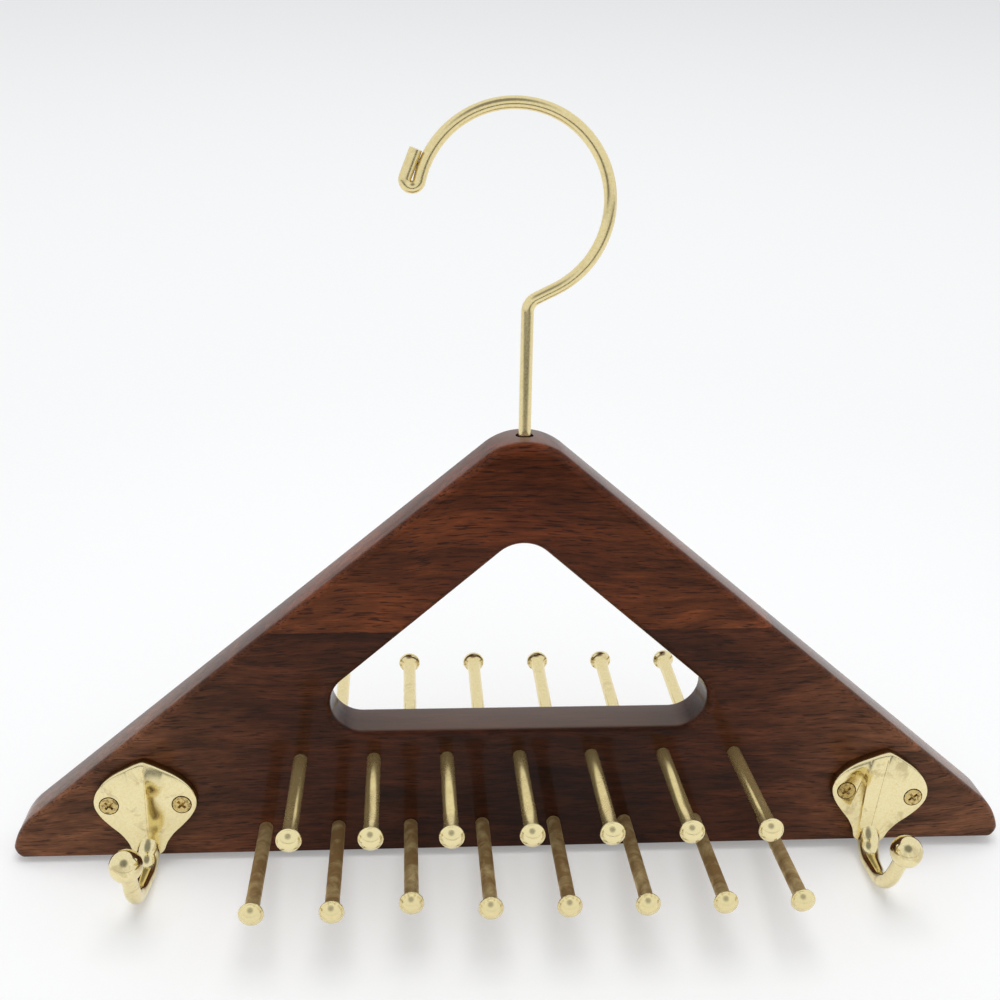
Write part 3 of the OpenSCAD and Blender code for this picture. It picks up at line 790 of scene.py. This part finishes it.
def coatHook(name, side, node):
    height = coat["leftHeight"] if side < 0 else coat["rightHeight"]
    turn = 0 if side < 0 else radians(coat["rightTurn"])
    place = Matrix.Translation(Vector((side * (halfWidth - coat["inset"]), -board["thick"] / 2,
                                       height + board["lift"])) * mm) \
        @ Matrix.Rotation(turn, 4, "Y") @ Matrix.Rotation(pi / 2, 4, "X")
    hook = makeObject(name, meshFrom(name, plateBody))
    thick, hole, rim = coat["thick"], coat["screwHole"], coat["sinkRadius"]
    sinkEdge = [(0, -1), (hole, -1), (hole, thick - coat["sinkDepth"]), (rim, thick - coat["sinkWall"]),
                (rim, thick + 0.5), (0, thick + 0.5)]
    for x in (-coat["spacing"] / 2, coat["spacing"] / 2):
        sink = lathe("sink", sinkEdge, 40, Matrix.Translation((x * mm, 0, 0)))
        cut(hook, makeObject("sink", sink))
    cut(hook, makeObject("arm", meshFrom("arm", armBody)), "UNION")
    centre = armRoute()[1]
    ball = coat["ball"] / 2
    rings = [(ball * sin(pi * k / 24), -ball * cos(pi * k / 24)) for k in range(25)]
    rings[0], rings[-1] = (0, -ball), (0, ball)
    aside = -(centre.x - thick) * tan(radians(coat["swing"]))
    tip = lathe("ball", rings, 48, Matrix.Translation(Vector((aside, centre.y, centre.x)) * mm))
    cut(hook, makeObject("ball", tip), "UNION")
    # Painted reflection of the wooden board and painted shade on the plate's sides and the foot of the arm,
    # kept clear of the two screw holes
    paintedSideReflection = hook.data.attributes.new("rim", "FLOAT", "POINT")
    rimTop = thick - coat["bevel"] * 0.9
    for vertex in hook.data.vertices:
        v = vertex.co / mm
        clear = Vector((abs(v.x) - coat["spacing"] / 2, v.y)).length > rim + 0.2
        paintedSideReflection.data[vertex.index].value = 1.0 if clear and v.z < rimTop else 0.0
    hook.data.transform(place)
    shade(hook.data, 32)
    dress(hook, platedBrass, "coat_hooks", "board", node)


coatHook("leftCastHook", -1, "left_coat_hook")
coatHook("rightCastHook", 1, "right_coat_hook")
print("coat hooks")


# Screws keep their CAD solids

for side in ("left", "right"):
    for number in (1, 2):
        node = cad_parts["%s_hook_screw_%d" % (side, number)]
        node.data.materials.clear()
        node.data.materials.append(screwBrass)
print("screws")


# Table and light: the hanger leans back on its two coat hooks and a rear peg

def restingPlane():
    # The plane that touches both arms and the rear pegs from below
    groups = [[v.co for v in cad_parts["%s_coat_hook" % n].data.vertices] for n in ("left", "right")]
    rear = [v.co for n in range(9, 16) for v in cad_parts["back_peg_%02d" % n].data.vertices]
    up = Vector((0, 0, 1))
    for _ in range(12):
        left, right, back = (min(g, key=lambda p: p.dot(up)) for g in groups + [rear])
        up = (right - left).cross(back - left).normalized()
        if up.z < 0:
            up = -up
    return left, up


touching, tableUp = restingPlane()
print("table tilts %.2f degrees" % degrees(acos(tableUp.z)))
studio = {"tableSize": 5.0, "tableGap": 0.2, "tableGlow": 0.25, "tableWhite": (0.76, 0.8),
          "fadeFrom": 0.1, "fadeTo": 0.5, "fadeLevel": 0.95,
          "dimFrom": -0.5, "dimTo": -0.95, "dimLevel": 0.12,
          "lampPower": 24.0, "lampSize": 1.7, "lampPlace": (0.0, -0.1, 2.4), "lampTarget": (0, 0, 0.05),
          "skyLevel": 0.66, "skyTone": "#f4f6f8", "roomTone": "#eef0f0",
          "darkWay": (-0.09, -0.6, 0.79), "darkFrom": 0.82, "darkTo": 0.97, "darkness": 0.7}


def tableTop():
    # A white table that fades a little with distance. Reflections see it grow dim half a metre in front
    # of the hanger, which draws the dark line along the wire
    size = studio["tableSize"]
    side = Vector((1, 0, 0)).cross(tableUp).normalized()
    ahead = side if side.y > 0 else -side
    across = ahead.cross(tableUp).normalized()
    centre = touching - tableUp * studio["tableGap"] * mm

    def build(b):
        corners = [b.verts.new(centre + across * x * size + ahead * y * size)
                   for x, y in ((-1, -1), (1, -1), (1, 1), (-1, 1))]
        face = b.faces.new(corners)
        if face.normal.dot(tableUp) < 0:
            face.normal_flip()
    table = makeObject("tableTop", meshFrom("tableTop", build))
    material, tree = newMaterial("white laminate, matt")
    place = addNode(tree, "ShaderNodeTexCoord").outputs["Object"]
    away = addNode(tree, "ShaderNodeVectorMath", {"operation": "LENGTH"}, {0: place}).outputs["Value"]
    fade = addNode(tree, "ShaderNodeMapRange", smoothStep, {
        "Value": away, "From Min": studio["fadeFrom"], "From Max": studio["fadeTo"],
        "To Min": 1.0, "To Max": studio["fadeLevel"]})
    mottle = addNode(tree, "ShaderNodeTexNoise", inputs={  # mottle of 1.4 mm
        "Vector": place, "Scale": 700, "Detail": 2, "Roughness": 0.5})
    low, high = studio["tableWhite"]
    white = addNode(tree, "ShaderNodeValToRGB", {"stops": ((0.0, low), (1.0, high))}, {"Fac": mottle})
    white = addNode(tree, "ShaderNodeMix", multiplyColours, {0: 1.0, 6: white, 7: fade}).outputs[2]
    y = addNode(tree, "ShaderNodeSeparateXYZ", inputs={"Vector": place}).outputs["Y"]
    near = addNode(tree, "ShaderNodeMapRange", smoothStep, {
        "Value": y, "From Min": studio["dimTo"], "From Max": studio["dimFrom"],
        "To Min": studio["dimLevel"], "To Max": 1.0})
    rays = addNode(tree, "ShaderNodeLightPath").outputs
    dimmed = addNode(tree, "ShaderNodeMix", {"data_type": "FLOAT"}, {
        0: rays["Is Glossy Ray"], 2: 1.0, 3: near})
    tone = addNode(tree, "ShaderNodeMix", multiplyColours, {0: 1.0, 6: white, 7: dimmed}).outputs[2]
    diffuse = addNode(tree, "ShaderNodeBsdfDiffuse", inputs={"Color": tone})
    strength = addNode(tree, "ShaderNodeMath", {"operation": "MAXIMUM"}, {
        0: rays["Is Camera Ray"], 1: rays["Is Glossy Ray"]})
    for factor in (fade, dimmed, studio["tableGlow"]):
        strength = addNode(tree, "ShaderNodeMath", {"operation": "MULTIPLY"}, {0: strength, 1: factor})
    glow = addNode(tree, "ShaderNodeEmission", inputs={"Strength": strength})
    both = addNode(tree, "ShaderNodeAddShader", inputs={0: diffuse, 1: glow})
    addNode(tree, "ShaderNodeOutputMaterial", inputs={"Surface": both})
    table.data.materials.append(material)


def studioWorld():
    # Even white light all round. Seen directly it is the pale background, and reflections find a dark
    # patch above and in front, as the dim end of a room gives
    world = bpy.data.worlds.new("studio")
    scene.world = world
    world.use_nodes = True
    tree = world.node_tree
    tree.nodes.clear()
    way = addNode(tree, "ShaderNodeTexCoord").outputs["Generated"]
    toFront = addNode(tree, "ShaderNodeVectorMath", {"operation": "DOT_PRODUCT"}, {
        0: way, 1: Vector(studio["darkWay"]).normalized()}).outputs["Value"]
    front = addNode(tree, "ShaderNodeMapRange", smoothStep, {
        "Value": toFront, "From Min": studio["darkFrom"], "From Max": studio["darkTo"],
        "To Max": studio["darkness"]})
    rays = addNode(tree, "ShaderNodeLightPath").outputs
    level = addNode(tree, "ShaderNodeMix", {"data_type": "FLOAT"}, {
        0: rays["Is Glossy Ray"], 2: studio["skyLevel"], 3: 1.0})
    dark = addNode(tree, "ShaderNodeMath", {"operation": "MULTIPLY"}, {0: front, 1: rays["Is Glossy Ray"]})
    left = addNode(tree, "ShaderNodeMath", {"operation": "SUBTRACT"}, {0: 1.0, 1: dark})
    strength = addNode(tree, "ShaderNodeMath", {"operation": "MULTIPLY"}, {0: level, 1: left})
    sky = addNode(tree, "ShaderNodeBackground", inputs={
        "Strength": strength, "Color": linear(studio["skyTone"])})
    room = addNode(tree, "ShaderNodeBackground", inputs={"Color": linear(studio["roomTone"])})
    shown = addNode(tree, "ShaderNodeMixShader", inputs={0: rays["Is Camera Ray"], 1: sky, 2: room})
    addNode(tree, "ShaderNodeOutputWorld", inputs={"Surface": shown})


def areaLight(name, place, target, size, power):
    # A square lamp that lights the pieces without showing in their gloss
    data = bpy.data.lights.new(name, "AREA")
    data.shape = "SQUARE"
    data.size = size
    data.energy = power
    light = makeObject(name, data)
    light.visible_glossy = False
    light.location = place
    light.rotation_euler = (Vector(target) - Vector(place)).to_track_quat("-Z", "Y").to_euler()


tableTop()
areaLight("overheadSoftbox", studio["lampPlace"], studio["lampTarget"], studio["lampSize"],
          studio["lampPower"])
studioWorld()
scene.view_settings.view_transform = "Standard"
print("studio")
